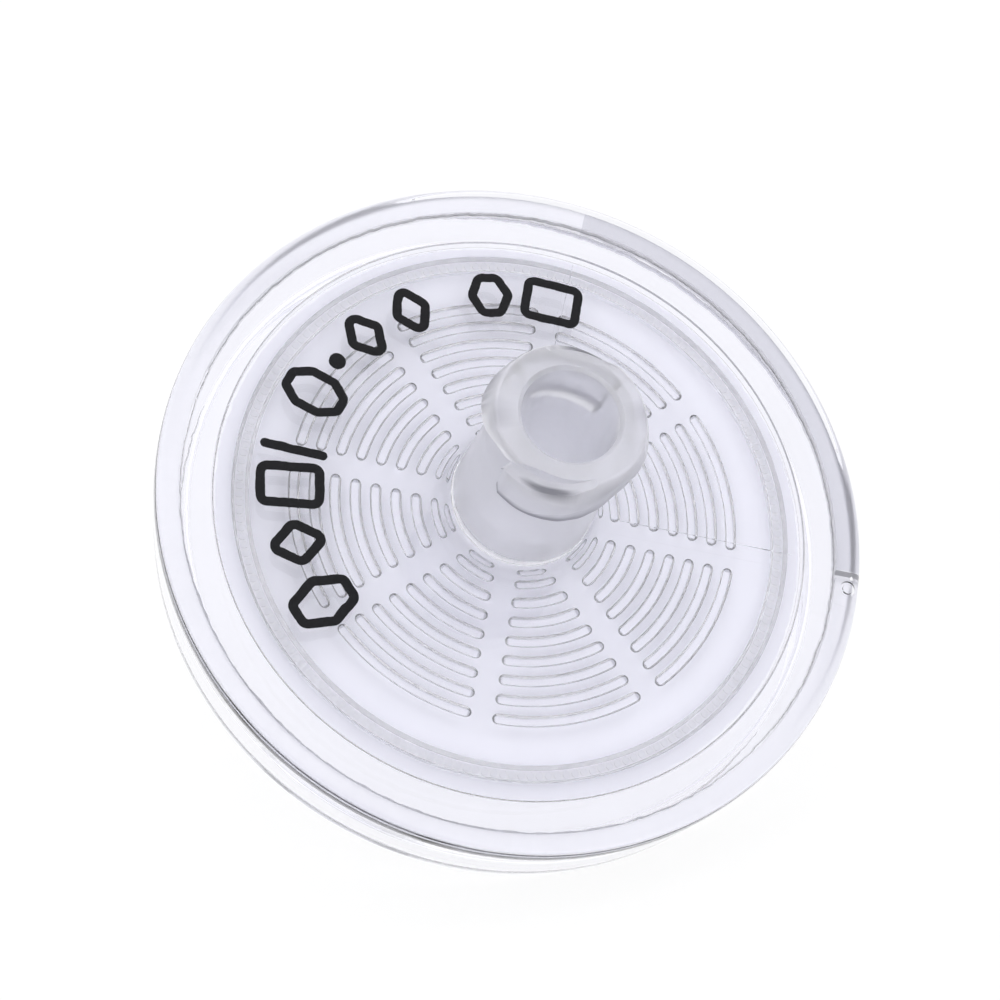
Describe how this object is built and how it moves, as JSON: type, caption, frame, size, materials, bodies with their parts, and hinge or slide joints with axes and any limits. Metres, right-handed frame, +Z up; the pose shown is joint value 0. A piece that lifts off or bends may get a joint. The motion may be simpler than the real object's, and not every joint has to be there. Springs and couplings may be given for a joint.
{
  "type": "disc syringe filter",
  "caption": "Clear plastic disc filter with a pinched white membrane, ribbed flow field, Luer-lock inlet hub and slip outlet nozzle, lying at rest.",
  "frame": {"origin": "centre of the bounding box's base, on the table that the filter lies on", "axes": "+Z up; +X along the disc's level diameter; the filter's flow axis leans 36.1 degrees from +Z towards -Y, so its inlet points up and to -Y, and it touches the table with the foot of its rim on the -Y side and with the tip of its nozzle on the +Y side"},
  "size_m": [0.033, 0.0288, 0.0228],
  "materials": {
    "clear_plastic_inlet": "polished, clear",
    "clear_plastic_outlet": "polished, clear",
    "filter_membrane": "matte, porous",
    "printing_ink": "matte black print"
  },
  "bodies": {
    "root": {"inlet_housing": "clear_plastic_inlet", "membrane": "filter_membrane", "outlet_housing": "clear_plastic_outlet", "ink_mark_01": "printing_ink", "ink_mark_02": "printing_ink", "ink_mark_03": "printing_ink", "ink_mark_04": "printing_ink", "ink_mark_05": "printing_ink", "ink_mark_06": "printing_ink", "ink_mark_07": "printing_ink", "ink_mark_08": "printing_ink", "ink_mark_09": "printing_ink", "ink_mark_10": "printing_ink"}
  },
  "joints": []
}
